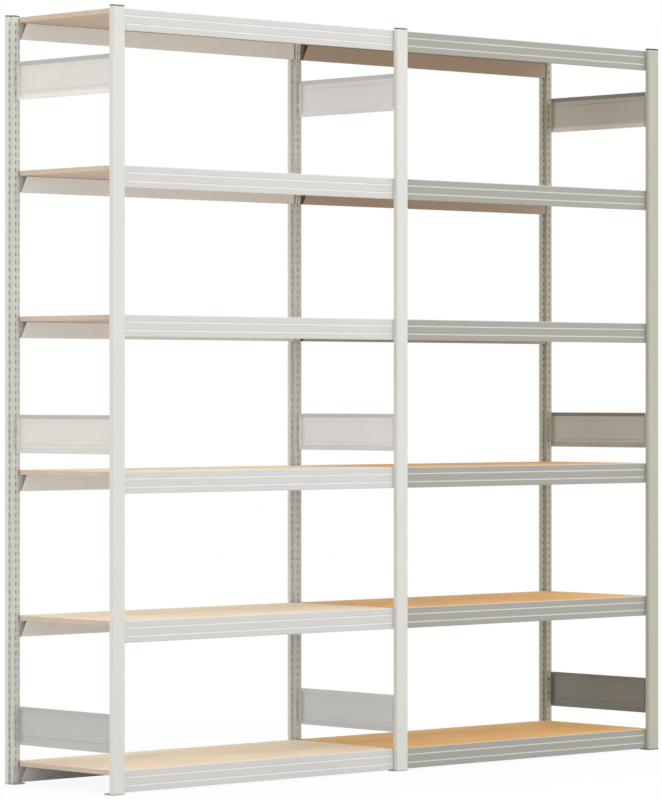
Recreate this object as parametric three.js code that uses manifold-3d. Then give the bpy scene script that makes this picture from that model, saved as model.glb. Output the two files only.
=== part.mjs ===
// A wide span shelving unit of two bays: three end frames, hook-in beams and loose chipboard shelves.
// Millimetres, X along the bays, Y from front to rear, +Z up, origin on the floor under the middle.

import * as THREE from "three";
import { mergeVertices } from "three/addons/utils/BufferGeometryUtils.js";
import Module from "manifold-3d";

const wasm = await Module();
wasm.setup();

// Overall layout
const frameNames = ["left", "middle", "right"];
const bayNames = ["left_bay", "right_bay"];
const endNames = ["front", "rear"];
const bayPitch = 1250; // upright centre to upright centre
const frameDepth = 550; // front face to rear face of an end frame
const uprightLength = 2500;

// Upright section: a rounded head that shows at the front, with a narrower stem behind it
const headWidth = 52;
const headDepth = 18;
const headRounding = 4;
const stemWidth = 24;
const stemDepth = 10;
const uprightWall = 1.8;

// Slots, one column in each shoulder of the head and one down the stem
const slotPitch = 25;
const slotHeight = 13;
const slotWidth = 5;
const lowestSlot = 27.5; // floor to the middle of the lowest slot
const slotTopMargin = 20; // least length of upright above the middle of the highest slot

// Foot plate, welded under the upright
const footThickness = 4;
const footLength = 46;

// Plastic cap, pushed into the top of the upright
const capThickness = 3;
const capPlugDepth = 15;
const capPlugClearance = 0.5;
const capPlugWall = 2;

// Hooks of the beams and side panels
const hookWidth = 3;
const hookHeight = 7;
const hookDrop = 3.7;
const hookNose = 2;

// Beam section, a closed box that narrows downwards under a raised lip
const beamHeight = 70;
const beamShelfReach = 26; // face to the inner edge of the ledge that carries the board
const beamFootReach = 12; // face to the inner edge of the bottom
const beamLip = 3;
const beamSheet = 1.5;
const grooveDepth = 3;
const grooveStep = 1;
const grooveHeight = 7;
const grooveDrops = [21.5, 48.3]; // beam top to the top of each groove
const beamHookDrop = 22.5; // beam top to the middle of the slot of its upper hook
const beamHookCount = 2;
const endCutLow = 8.5; // how far the inner wall stops short of the beam's end, at the bottom
const endCutHigh = 21.5; // and at the ledge

// Shelf board
const boardThickness = 16;
const boardEndGap = 8; // between the boards of neighbouring bays

// Side panel, a shallow channel between the front and rear stems
const panelHeight = 125;
const panelSheet = 1.5;
const panelOffset = 8.8; // frame's middle plane to the panel's web
const panelEdgeReach = 11; // how far its long edges stand out from the web
const panelLowerEdge = 17;
const panelUpperEdge = 13;
const panelFieldMargin = 30; // from the panel's top and bottom to its raised field
const panelFieldEnd = 15; // and from its ends
const panelFieldRise = 1.2; // less than the sheet, so that the field stays joined at its ends
const panelStandOff = 12.5; // stem to the panel's end tabs, bridged by its hooks
const panelTabWidth = 12;
const panelTabMargin = 15; // from the panel's top and bottom to its end tabs
const panelHookRise = 47.5; // panel bottom to the middle of the slot of its lower hook
const panelHookSteps = 2; // slots between its two hooks

// Clearances
const seatGap = 0.3; // between faces that rest on each other
const beamEndClearance = 0.5;
const boardEdgeClearance = 1;
const boardNotchSide = 5; // between a stem's side and the notch in the board's corner
const boardNotchFace = 16; // and between the stem's face and the notch
const overrun = 5; // how far every cutting solid runs past what it cuts

// Heights of the shelves and side panels, as shares of the run of slots
const shelfShares = [0.01, 0.2, 0.4, 0.6, 0.8, 1];
const panelNames = ["bottom", "middle", "top"];
const panelShares = [0.06, 0.45, 0.92];

const halfHead = headWidth / 2;
const halfStem = stemWidth / 2;
const shoulderMiddle = (halfHead + halfStem) / 2;
const uprightDepth = headDepth + stemDepth;
const slotRun = uprightLength + footThickness - lowestSlot - slotTopMargin;
const highestSlotNumber = Math.floor(slotRun / slotPitch);
const ledgeHeight = beamHeight - boardThickness - seatGap;
const faceInset = headDepth + seatGap; // upright face to beam face

const alongX = new THREE.Matrix4().makeBasis(
  new THREE.Vector3(0, 1, 0),
  new THREE.Vector3(0, 0, 1),
  new THREE.Vector3(1, 0, 0),
);
const alongBack = new THREE.Matrix4().makeBasis(
  new THREE.Vector3(1, 0, 0),
  new THREE.Vector3(0, 0, 1),
  new THREE.Vector3(0, -1, 0),
);

// Left bay and the two frames beside it are a paler grey than the right bay, as in the photograph.
const finishes = {
  palePaint: new THREE.MeshStandardMaterial({ color: 0xe0e1da, roughness: 0.45, metalness: 0.1 }),
  deepPaint: new THREE.MeshStandardMaterial({ color: 0xbdbbae, roughness: 0.45, metalness: 0.1 }),
  paleBoard: new THREE.MeshStandardMaterial({ color: 0xe8d0b2, roughness: 0.8, metalness: 0 }),
  deepBoard: new THREE.MeshStandardMaterial({ color: 0xdaa55a, roughness: 0.8, metalness: 0 }),
  capPlastic: new THREE.MeshStandardMaterial({ color: 0x4a4a48, roughness: 0.6, metalness: 0 }),
};

function solid(geometry) {
  const bare = geometry.clone();
  bare.deleteAttribute("normal");
  bare.deleteAttribute("uv");
  const merged = mergeVertices(bare);
  const vertProperties = merged.attributes.position.array;
  const triVerts = new Uint32Array(merged.index.array);
  return new wasm.Manifold(new wasm.Mesh({ numProp: 3, vertProperties, triVerts }));
}

function surface(body) {
  const mesh = body.getMesh();
  const geometry = new THREE.BufferGeometry();
  geometry.setAttribute("position", new THREE.BufferAttribute(mesh.vertProperties, 3));
  geometry.setIndex(new THREE.BufferAttribute(mesh.triVerts, 1));
  geometry.computeVertexNormals();
  return geometry;
}

function piece(name, body, finish) {
  const mesh = new THREE.Mesh(surface(body), finish);
  mesh.name = name;
  return mesh;
}

function shapeOf(points) {
  return new THREE.Shape(points.map(([x, y]) => new THREE.Vector2(x, y)));
}

function extruded(shape, length) {
  return new THREE.ExtrudeGeometry(shape, { depth: length, bevelEnabled: false, curveSegments: 3 });
}

// A box between two corners
function block(low, high) {
  const [x, y, z] = high.map((value, axis) => value - low[axis]);
  const box = new THREE.BoxGeometry(x, y, z);
  box.translate((low[0] + high[0]) / 2, (low[1] + high[1]) / 2, (low[2] + high[2]) / 2);
  return solid(box);
}

// A closed outline with every side moved inwards by the same distance; its points run anticlockwise.
function insetOutline(points, distance) {
  const count = points.length;
  return points.map(([x, y], i) => {
    const before = points[(i + count - 1) % count];
    const after = points[(i + 1) % count];
    const into = new THREE.Vector2(x - before[0], y - before[1]).normalize();
    const out = new THREE.Vector2(after[0] - x, after[1] - y).normalize();
    const turn = 1 + into.dot(out);
    const shift = [-(into.y + out.y) / turn, (into.x + out.x) / turn];
    return [x + distance * shift[0], y + distance * shift[1]];
  });
}

// Height above the floor of the middle of a slot
function slotLevel(number) {
  return lowestSlot + number * slotPitch;
}

const shelfSlots = shelfShares.map((share) => Math.round(share * highestSlotNumber));
const panelSlots = panelShares.map((share) => Math.round(share * highestSlotNumber));

// Uprights

function headOutline(inset, depth) {
  const half = halfHead - inset;
  const rounding = headRounding - inset;
  const shape = new THREE.Shape();
  shape.moveTo(-half, depth);
  shape.lineTo(-half, inset + rounding);
  shape.absarc(-half + rounding, inset + rounding, rounding, Math.PI, 1.5 * Math.PI, false);
  shape.absarc(half - rounding, inset + rounding, rounding, 1.5 * Math.PI, 2 * Math.PI, false);
  shape.lineTo(half, depth);
  return shape;
}

function uprightOutline(inset) {
  const shape = headOutline(inset, headDepth - inset);
  const half = halfStem - inset;
  const stemEnd = uprightDepth - inset;
  shape.lineTo(half, headDepth - inset);
  shape.lineTo(half, stemEnd);
  shape.lineTo(-half, stemEnd);
  shape.lineTo(-half, headDepth - inset);
  return shape;
}

// A slot through one wall, cut in the upright's own frame, whose zero height is the floor
function slotCut(across, face, number) {
  const middle = slotLevel(number);
  const low = [across - slotWidth / 2, face - uprightWall - overrun / 2, middle - slotHeight / 2];
  const high = [across + slotWidth / 2, face + overrun / 2, middle + slotHeight / 2];
  return block(low, high);
}

// Only the slots that hold a hook are cut; sides lists the shoulders, -1 or 1, that carry beams.
function upright(sides) {
  const outside = solid(extruded(uprightOutline(0), footThickness + uprightLength));
  const foot = solid(extruded(headOutline(0, footLength), footThickness));
  const hollow = extruded(uprightOutline(uprightWall), uprightLength + overrun);
  hollow.translate(0, 0, footThickness);
  let body = outside.add(foot).subtract(solid(hollow));
  for (const side of sides) {
    for (const slot of shelfSlots) {
      for (let i = 0; i < beamHookCount; i++) {
        body = body.subtract(slotCut(side * shoulderMiddle, headDepth, slot - i));
      }
    }
  }
  for (const slot of panelSlots) {
    body = body.subtract(slotCut(0, uprightDepth, slot));
    body = body.subtract(slotCut(0, uprightDepth, slot + panelHookSteps));
  }
  return body;
}

// A plate over the section with a hollow plug that grips inside the head
function cap() {
  const plate = solid(extruded(uprightOutline(0), capThickness));
  const plugOutside = uprightWall + capPlugClearance;
  const low = [-halfHead + headRounding, plugOutside, -capPlugDepth];
  const high = [halfHead - headRounding, headDepth - plugOutside, capThickness / 2];
  const innerLow = [low[0] + capPlugWall, low[1] + capPlugWall, low[2] - overrun];
  const innerHigh = [high[0] - capPlugWall, high[1] - capPlugWall, 0];
  return plate.add(block(low, high)).subtract(block(innerLow, innerHigh));
}

// A hook that goes out of a face at zero depth, through the upright's wall and down behind it
function hook(across, slotMiddle, root) {
  const seat = slotMiddle - slotHeight / 2 + seatGap;
  const back = -(seatGap + uprightWall + seatGap);
  const tip = back - hookNose;
  const outline = [
    [root, seat],
    [root, seat + hookHeight],
    [tip, seat + hookHeight],
    [tip, seat - hookDrop],
    [back, seat - hookDrop],
    [back, seat],
  ];
  const shape = extruded(shapeOf(outline), hookWidth);
  shape.applyMatrix4(alongX);
  shape.translate(across - hookWidth / 2, 0, 0);
  return solid(shape);
}

// Beams

// The face from top to bottom, with its two grooves
function faceOutline(top) {
  const points = [[0, top]];
  for (const drop of grooveDrops) {
    const edge = beamHeight - drop;
    points.push([0, edge]);
    points.push([grooveDepth, edge - grooveStep]);
    points.push([0, edge - grooveHeight]);
  }
  return points;
}

function beamEndCut(end) {
  const outline = [
    [overrun, -overrun],
    [overrun, ledgeHeight + seatGap],
    [-endCutHigh, ledgeHeight + seatGap],
    [-endCutLow, 0],
    [-endCutLow, -overrun],
  ];
  const cut = extruded(shapeOf(outline), beamShelfReach + overrun);
  cut.applyMatrix4(alongBack);
  cut.translate(end, grooveDepth + beamSheet + beamShelfReach + overrun, 0);
  return solid(cut);
}

// A beam in its own frame: X from the bay's middle, Y from its face inwards, Z from its bottom
function beam() {
  const half = bayPitch / 2 - halfStem - beamEndClearance;
  const foot = [
    [0, 0],
    [beamFootReach, 0],
    [beamShelfReach, ledgeHeight],
  ];
  const lip = [
    [beamLip, ledgeHeight],
    [beamLip, beamHeight],
  ];
  const outside = extruded(shapeOf([...foot, ...lip, ...faceOutline(beamHeight)]), 2 * half);
  const boxOutline = insetOutline([...foot, ...faceOutline(ledgeHeight)], beamSheet);
  const inside = extruded(shapeOf(boxOutline), 2 * (half + overrun));
  outside.applyMatrix4(alongX).translate(-half, 0, 0);
  inside.applyMatrix4(alongX).translate(-half - overrun, 0, 0);
  let body = solid(outside).subtract(solid(inside));
  const cut = beamEndCut(half);
  body = body.subtract(cut).subtract(cut.mirror([1, 0, 0]));
  for (const side of [-1, 1]) {
    for (let i = 0; i < beamHookCount; i++) {
      const across = side * (bayPitch / 2 - shoulderMiddle);
      const slotMiddle = beamHeight - beamHookDrop - i * slotPitch;
      body = body.add(hook(across, slotMiddle, grooveDepth + beamSheet / 2));
    }
  }
  return body;
}

// Shelf boards, notched at the corners round the stems
function board() {
  const halfLength = (bayPitch - boardEndGap) / 2;
  const edgeInset = faceInset + beamLip + boardEdgeClearance;
  const halfDepth = frameDepth / 2 - edgeInset;
  const notchLength = halfStem + boardNotchSide - boardEndGap / 2;
  const notchDepth = uprightDepth + boardNotchFace - edgeInset;
  const corner = [
    [halfLength - notchLength, halfDepth],
    [halfLength - notchLength, halfDepth - notchDepth],
    [halfLength, halfDepth - notchDepth],
  ];
  const outline = [
    ...corner,
    ...corner.map(([x, y]) => [x, -y]).reverse(),
    ...corner.map(([x, y]) => [-x, -y]),
    ...corner.map(([x, y]) => [-x, y]).reverse(),
  ];
  return solid(extruded(shapeOf(outline), boardThickness));
}

// A sheet with the given line as its section, along Y about the middle
function sheetAlong(line, length) {
  const outline = [...line, ...line.map(([x, z]) => [x + panelSheet, z]).reverse()];
  const sheet = extruded(shapeOf(outline), length);
  sheet.applyMatrix4(alongBack).translate(0, length / 2, 0);
  return solid(sheet);
}

// Side panels, in their own frame: X from the frame's middle plane, Z from the panel's bottom
function sidePanel() {
  const stem = frameDepth / 2 - uprightDepth;
  const run = 2 * (stem - panelStandOff);
  const fieldRun = run - 2 * panelFieldEnd;
  const web = panelOffset;
  const field = web - panelFieldRise;
  const edge = web - panelEdgeReach;
  const lowerPart = [
    [edge, 0],
    [web, panelLowerEdge],
  ];
  const upperPart = [
    [web, panelHeight - panelUpperEdge],
    [edge, panelHeight],
  ];
  const raised = [
    [web, panelFieldMargin - panelFieldRise],
    [field, panelFieldMargin],
    [field, panelHeight - panelFieldMargin],
    [web, panelHeight - panelFieldMargin + panelFieldRise],
  ];
  const ends = sheetAlong([...lowerPart, ...upperPart], run);
  const fieldSheet = sheetAlong([...lowerPart, ...raised, ...upperPart], fieldRun);
  const openLow = [edge - overrun, panelSheet - fieldRun / 2, -overrun];
  const openHigh = [web + panelSheet + overrun, fieldRun / 2 - panelSheet, panelHeight + overrun];
  const tabLow = [-panelTabWidth / 2, -run / 2, panelTabMargin];
  const tabHigh = [web + panelSheet / 2, -run / 2 + panelSheet, panelHeight - panelTabMargin];
  let tab = block(tabLow, tabHigh);
  for (const step of [0, panelHookSteps]) {
    const tongue = hook(0, panelHookRise + step * slotPitch, panelStandOff - seatGap + panelSheet / 2);
    tab = tab.add(tongue.translate([0, seatGap - stem, 0]));
  }
  return ends.subtract(block(openLow, openHigh)).add(fieldSheet).add(tab).add(tab.mirror([0, 1, 0]));
}

// Assembly

function buildFrame(index) {
  const name = frameNames[index];
  const paint = index < bayNames.length ? finishes.palePaint : finishes.deepPaint;
  const group = new THREE.Group();
  group.position.x = (index - (frameNames.length - 1) / 2) * bayPitch;
  const sides = [-1, 1].filter((side) => frameNames[index + side]);
  endNames.forEach((place, end) => {
    const facing = end ? -1 : 1; // a rear piece is a front one turned round
    const post = new THREE.Group();
    post.position.y = (-facing * frameDepth) / 2;
    post.rotation.z = end * Math.PI;
    const ownSides = sides.map((side) => side * facing);
    const top = piece(`${name}_${place}_cap`, cap(), finishes.capPlastic);
    top.position.z = footThickness + uprightLength + seatGap;
    post.add(piece(`${name}_${place}_upright`, upright(ownSides), paint), top);
    group.add(post);
  });
  panelSlots.forEach((slot, i) => {
    const panel = piece(`${name}_side_panel_${panelNames[i]}`, sidePanel(), paint);
    panel.position.z = slotLevel(slot) - panelHookRise;
    group.add(panel);
  });
  return group;
}

function buildBay(index) {
  const name = bayNames[index];
  const paint = index ? finishes.deepPaint : finishes.palePaint;
  const wood = index ? finishes.deepBoard : finishes.paleBoard;
  const group = new THREE.Group();
  group.position.x = (index - (bayNames.length - 1) / 2) * bayPitch;
  shelfSlots.forEach((slot, i) => {
    const level = i + 1;
    const top = slotLevel(slot) + beamHookDrop;
    endNames.forEach((place, end) => {
      const facing = end ? -1 : 1;
      const rail = piece(`${name}_${place}_beam_${level}`, beam(), paint);
      rail.position.set(0, -facing * (frameDepth / 2 - faceInset), top - beamHeight);
      rail.rotation.z = end * Math.PI;
      group.add(rail);
    });
    const shelf = piece(`${name}_shelf_board_${level}`, board(), wood);
    shelf.position.z = top - boardThickness;
    group.add(shelf);
  });
  return group;
}

const unit = new THREE.Group();
frameNames.forEach((name, index) => unit.add(buildFrame(index)));
bayNames.forEach((name, index) => unit.add(buildBay(index)));

export default unit;
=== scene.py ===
"""Looks of a wide span shelving unit: slotted uprights, grooved beams, side panels and chipboard shelves."""

import math

import bmesh
import bpy
from bpy.props import FloatProperty, FloatVectorProperty, IntProperty, PointerProperty
from mathutils import Matrix, Vector


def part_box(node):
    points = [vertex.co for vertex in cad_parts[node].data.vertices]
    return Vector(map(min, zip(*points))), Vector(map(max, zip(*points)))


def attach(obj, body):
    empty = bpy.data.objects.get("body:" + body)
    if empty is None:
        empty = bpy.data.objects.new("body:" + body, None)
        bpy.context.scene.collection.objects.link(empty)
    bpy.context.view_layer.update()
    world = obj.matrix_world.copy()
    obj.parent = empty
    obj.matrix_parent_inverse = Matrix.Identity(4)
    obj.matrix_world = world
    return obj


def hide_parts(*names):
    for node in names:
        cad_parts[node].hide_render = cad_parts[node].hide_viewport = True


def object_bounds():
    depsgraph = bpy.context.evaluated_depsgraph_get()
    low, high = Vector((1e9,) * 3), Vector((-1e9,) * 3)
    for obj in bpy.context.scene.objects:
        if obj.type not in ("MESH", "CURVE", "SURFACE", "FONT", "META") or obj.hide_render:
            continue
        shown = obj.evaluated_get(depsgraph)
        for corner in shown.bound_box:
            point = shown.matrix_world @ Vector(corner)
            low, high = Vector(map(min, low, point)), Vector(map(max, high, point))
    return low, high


bl_info = {
    "name": "Wide span shelving unit",
    "version": (1, 0, 0),
    "blender": (4, 5, 0),
    "location": "3D View > Sidebar > Shelving",
    "description": "Dresses the packed shelving unit with detailed steel, chipboard and plastic pieces",
    "category": "Object",
}

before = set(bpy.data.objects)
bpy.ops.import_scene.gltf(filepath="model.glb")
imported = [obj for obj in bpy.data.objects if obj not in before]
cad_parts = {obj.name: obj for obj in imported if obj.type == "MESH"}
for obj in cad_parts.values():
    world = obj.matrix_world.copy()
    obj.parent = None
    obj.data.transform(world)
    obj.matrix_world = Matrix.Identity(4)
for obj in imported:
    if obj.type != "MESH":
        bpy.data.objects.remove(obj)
CAD_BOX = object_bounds()

FRAME_TONES = {"left": "pale", "middle": "pale", "right": "deep"}
BAY_TONES = {"left_bay": "pale", "right_bay": "deep"}
ENDS = ("front", "rear")
PANEL_PLACES = ("bottom", "middle", "top")
SHELF_LEVELS = tuple(range(1, 7))
RACK = "rack"

# Turns that lay a piece, or the length of an extruded outline, another way
HALF_TURN = Matrix.Rotation(math.pi, 4, "Z")
ALONG_X = Matrix(((0, 0, 1, 0), (1, 0, 0, 0), (0, 1, 0, 0), (0, 0, 0, 1)))
ALONG_Y = Matrix(((1, 0, 0, 0), (0, 0, -1, 0), (0, 1, 0, 0), (0, 0, 0, 1)))

# Corners of the upright's outline before each flat that has an opening
FACE, RIGHT_SHOULDER, STEM_BACK, LEFT_SHOULDER = range(0, 8, 2)

# Finishes of a beam, of a side panel and of a board, in the order of their lists; the beam's lit coat and lit
# inner walls are painted light, the panel's edge tones and the board's faces painted light and shade
COAT, LIT_COAT, LIT_INNER = range(3)
WEB, TOP_EDGE_SHADING, BOTTOM_EDGE_SHADING = range(3)
UPPER_FACE, SAWN_EDGE, SHADED_BELOW = range(3)

# Angles between faces above which an edge stays sharp, and the normal's height of a face that lies flat
SHARP_ANGLE = math.radians(35)
FOLD_ANGLE = math.radians(28)
BOARD_ANGLE = math.radians(50)
FLAT_NORMAL = 0.5
NORMAL_WEIGHT = 100

# Smallest distances that count, in metres
LEAST_BEND = 0.0002
LEAST_RISE = LEAST_BEND / 100
WELD_DISTANCE = 0.00001

# Shares: of a broken edge, of a hook's nose, of the lip, of the foot plate, of a hole's width, of a side
EDGE_ROUND = 0.3
HOOK_ROUNDS = (0.9, 0.45, 0.3)
LIP_ROUND = 0.45
SUNK_SHARE = 0.9
NEARLY_HALF = 0.499
BEND_REACH = 0.45

# A corner that turns by less than this is straight, and its points take this share of the side before it
STRAIGHT_TURN = 0.001
STRAIGHT_SHARE = 0.001

# Sockets of a Mix node that mixes colours
MIX_COLOURS = slice(6, 8)
MIX_RESULT = 2

# Coats: share of the clouds in the tone, and scale of the flecks against the skin
CLOUD_WEIGHT = 0.75
FLECK_SCALE = 0.31

# Chips: each layer's scale and turn, stretch and weight, the slow noise's weight, and the patches' stretch
CHIP_LAYERS = ((1.0, (1.0, 0.45, 1.0), 0.3), (1.7, (0.5, 1.0, 1.0), 0.3), (3.6, (1.0, 1.0, 1.0), 0.25))
SLOW_WEIGHT = 0.15
PATCH_STRETCH = (1.0, 2.6, 1.0)

# Dust: its amount and its colour
PAINT_DUST = (0.12, (0.62, 0.57, 0.5))
PLASTIC_DUST = (0.3, (0.4, 0.38, 0.35))

FLOOR_REACH = 40.0
FLOOR_DROP = 0.0005
SENSOR_WIDTH = 36
FARTHEST = 200


# Settings

def number(name, description, default, **kind):
    return FloatProperty(name=name, description=description, default=default, **kind)


def length(name, description, default):
    return number(name, description, default, min=0, unit="LENGTH", precision=5)


def colour(name, description, default):
    return FloatVectorProperty(
        name=name, description=description, default=default, subtype="COLOR", min=0, max=1
    )


def share(name, description, default):
    return number(name, description, default, min=0, max=1, subtype="FACTOR")


def tones(name, description, default):
    return FloatVectorProperty(name=name, description=description, default=default, size=3, min=0, max=2)


class UprightSizes(bpy.types.PropertyGroup):
    wall: length("Wall", "Thickness of the upright's sheet", 0.0018)
    head_depth: length("Head depth", "Front face to the shoulders", 0.018)
    depth: length("Depth", "Front face to the back of the stem", 0.028)
    stem_width: length("Stem width", "Width of the narrow part behind the head", 0.024)
    front_bend: length("Front bend", "Outside radius of the two front corners", 0.0055)
    back_bend: length("Back bend", "Outside radius of the corners at the shoulders and stem", 0.0022)
    stem_bend: length("Stem bend", "Radius where the stem meets the shoulders", 0.001)
    slot_pitch: length("Slot pitch", "Distance from one slot to the next", 0.025)
    slot_height: length("Slot height", "Height of each slot", 0.013)
    slot_width: length("Slot width", "Width of each slot", 0.0036)
    slot_across: length("Slot place", "Upright's middle to the slots in its shoulders", 0.0185)
    slot_corner: length("Slot corner", "Radius of each slot's corners", 0.0018)
    lowest_slot: length("Lowest slot", "Floor to the middle of the lowest slot", 0.0275)
    slot_count: IntProperty(name="Slots", description="Slots in each of three columns", default=99, min=3)
    hole_across: length("Screw hole across", "Middle of the face to the small hole in it", 0.014)
    hole_height: length("Screw hole height", "Floor to the middle of the small hole", 0.057)
    hole_width: length("Screw hole width", "Width of the small oval hole", 0.003)
    hole_rise: length("Screw hole rise", "Height of the small oval hole", 0.005)


class FootSizes(bpy.types.PropertyGroup):
    thickness: length("Thickness", "Thickness of the foot plate", 0.004)
    reach: length("Reach", "Front face to the plate's back edge", 0.046)
    corner: length("Corner", "Radius of the plate's corners", 0.003)
    broken_edge: length("Broken edge", "Width of the broken upper edge of plate and bracket", 0.0004)
    bracket_height: length("Bracket height", "Floor to the top of the bracket round the stem", 0.033)
    bracket_sheet: length("Bracket sheet", "Thickness of the bracket", 0.0015)
    bracket_gap: length("Bracket gap", "Stem to the bracket round it", 0.0002)


class CapSizes(bpy.types.PropertyGroup):
    inset: length("Inset", "How far the cap's rim stays inside the upright's outline", 0.0006)
    thickness: length("Thickness", "Height of the cap above the upright", 0.0045)
    gap: length("Gap", "Upright's end to the underside of the cap", 0.0002)
    rim: length("Rim", "Radius of the cap's upper edge", 0.0009)
    plug_gap: length("Plug gap", "Plug to the inside of the upright", 0.0005)


class BeamSizes(bpy.types.PropertyGroup):
    height: length("Height", "Bottom to the top of the lip", 0.07)
    ledge: length("Ledge", "Bottom to the ledge that carries the board", 0.0537)
    shelf_reach: length("Shelf reach", "Face to the inner edge of the ledge", 0.026)
    foot_reach: length("Foot reach", "Face to the inner edge of the bottom", 0.012)
    lip: length("Lip", "Thickness of the folded lip", 0.003)
    sheet: length("Sheet", "Thickness of the beam's sheet", 0.0015)
    bend: length("Bend", "Outside radius of the beam's long bends", 0.0022)
    groove_depth: length("Groove depth", "Depth of the two long grooves", 0.0022)
    groove_step: length("Groove step", "Height of a groove's upper flank", 0.001)
    groove_height: length("Groove height", "Height of a whole groove", 0.0052)
    groove_bend: length("Groove bend", "Radius of a groove's edges", 0.0006)
    upper_groove: length("Upper groove", "Beam top to the upper groove", 0.0197)
    lower_groove: length("Lower groove", "Beam top to the lower groove", 0.0465)
    end_cut_low: length("End cut, low", "End to the inner wall, at the bottom", 0.0085)
    end_cut_high: length("End cut, high", "End to the inner wall, at the ledge", 0.0215)
    lit_lip: length("Lit lip", "Height of the lip's rounded top, which gathers light", 0.0022)
    hook_drop: length("Hook drop", "Beam top to the middle of the slot of its upper hook", 0.0225)
    hook_inset: length("Hook inset", "Beam end to the middle of its hooks", 0.006)
    plain_end: length("Plain end", "Flat length at each end, before the grooves start", 0.02)
    groove_start: length("Groove start", "Length over which a groove reaches its full depth", 0.008)


class HookSizes(bpy.types.PropertyGroup):
    width: length("Width", "Thickness of a hook", 0.003)
    height: length("Height", "Height of a hook's root", 0.007)
    drop: length("Drop", "How far a hook reaches down behind the wall", 0.0037)
    nose: length("Nose", "Thickness of the part behind the wall", 0.002)
    gap: length("Gap", "Clearance between a hook and the wall it grips", 0.0003)


class PanelSizes(bpy.types.PropertyGroup):
    height: length("Height", "Height of a side panel", 0.125)
    sheet: length("Sheet", "Thickness of the panel's sheet", 0.0015)
    web: length("Web", "Frame's middle plane to the panel's web", 0.0088)
    edge_reach: length("Edge reach", "How far the long edges stand out from the web", 0.011)
    lower_edge: length("Lower edge", "Height of the slanted lower edge", 0.017)
    upper_edge: length("Upper edge", "Height of the slanted upper edge", 0.013)
    bend: length("Bend", "Radius between the web and its slanted edges", 0.0025)
    field_margin: length("Field margin", "Panel's top and bottom to its raised field", 0.03)
    field_end: length("Field end", "Panel's ends to its raised field", 0.015)
    field_rise: length("Field rise", "How far the field is raised", 0.002)
    field_slope: length("Field slope", "Width of the slope round the field", 0.0022)
    stand_off: length("Stand-off", "Stem to the panel's end tabs", 0.0125)
    tab_reach: length("Tab reach", "How far an end tab reaches past the frame's middle plane", 0.006)
    tab_margin: length("Tab margin", "Panel's top and bottom to its end tabs", 0.015)
    tab_corner: length("Tab corner", "Radius of the end tabs' free corners", 0.003)
    hook_rise: length("Hook rise", "Panel bottom to the middle of the slot of its lower hook", 0.0475)
    hook_pitch: length("Hook pitch", "Distance between its two hooks", 0.05)


class BoardSizes(bpy.types.PropertyGroup):
    edge: length("Edge", "Width of the broken edge round each face", 0.0005)
    outer_corner: length("Outer corner", "Radius of the board's outer corners", 0.0008)
    inner_corner: length("Inner corner", "Radius inside its four notches", 0.0015)
    end_gap: length("End gap", "Gap between the boards of the two bays", 0.008)
    notch_side: length("Notch side gap", "A stem's side to the notch in the board's corner", 0.005)
    notch_face: length("Notch face gap", "A stem's face to the notch", 0.016)


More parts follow.
